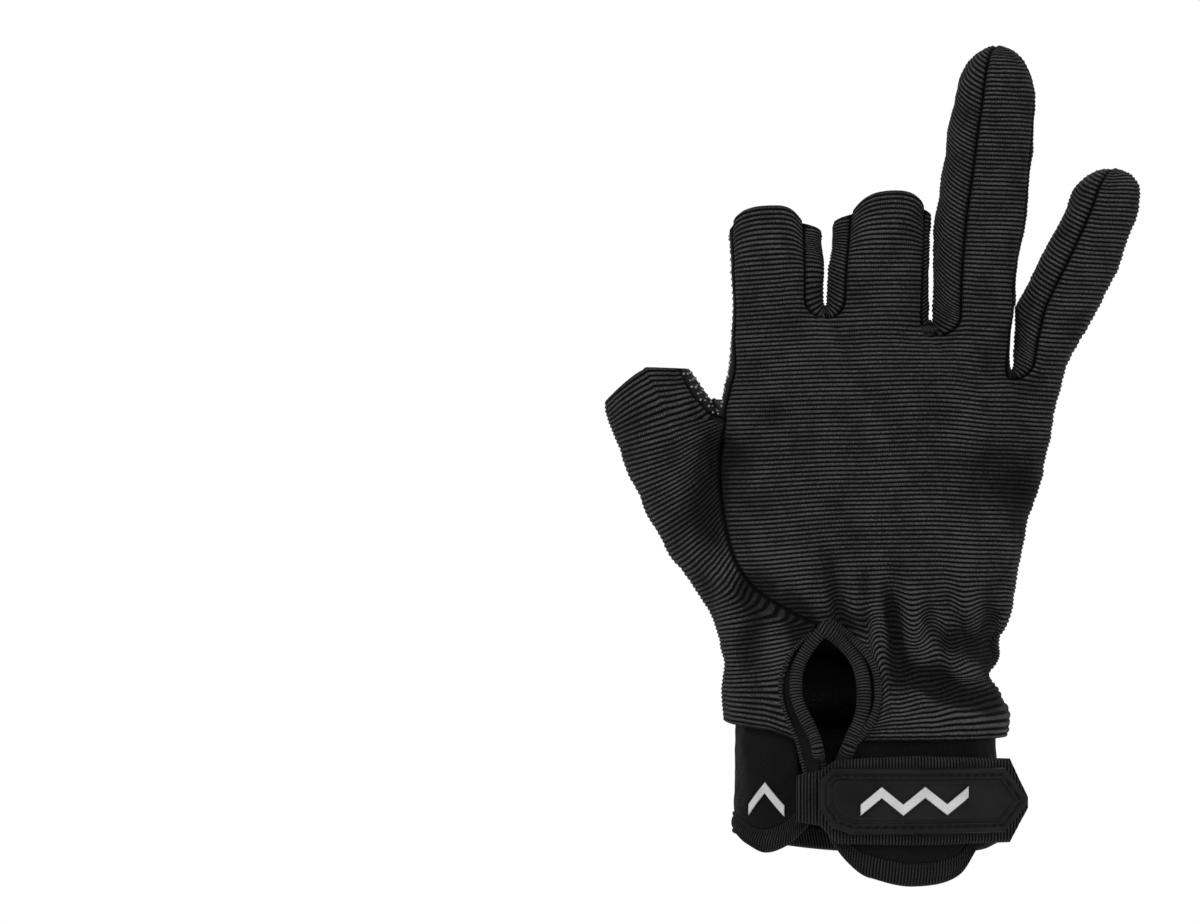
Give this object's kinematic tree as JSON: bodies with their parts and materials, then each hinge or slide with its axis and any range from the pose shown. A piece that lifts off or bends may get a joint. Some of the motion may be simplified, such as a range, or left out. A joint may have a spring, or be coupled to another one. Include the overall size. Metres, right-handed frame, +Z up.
{
  "type": "fishing glove",
  "caption": "Black knitted fishing glove with three cut-off finger ends, dotted palm, soft cuff, keyhole slit on the back and a wrist strap.",
  "frame": {"origin": "middle of the mouth where the hand goes in, at the height of the flap's lowest edge", "axes": "+Z up the fingers, +X towards the little finger, -Y out of the back of the hand"},
  "size_m": [0.1425, 0.0535, 0.222],
  "materials": {
    "ribbed_knit": "ribbed knit, matt black",
    "dotted_knit": "fine knit with small rubber dots, matt black",
    "smooth_knit": "smooth stretch knit, matt black",
    "webbing": "ribbed webbing, matt black",
    "patch_rubber": "moulded soft rubber, satin black",
    "grey_print": "raised light grey rubber print"
  },
  "bodies": {
    "root": {"back_panel": "ribbed_knit", "thumb_panel": "ribbed_knit", "palm_panel": "dotted_knit", "fourchette_index_middle": "ribbed_knit", "fourchette_middle_ring": "ribbed_knit", "fourchette_ring_little": "ribbed_knit", "cuff": "smooth_knit", "cuff_hem": "smooth_knit", "keyhole_binding_right": "ribbed_knit", "keyhole_binding_left": "ribbed_knit", "strap": "webbing", "strap_patch": "patch_rubber", "patch_mark": "grey_print", "tab_mark": "grey_print"}
  },
  "joints": []
}
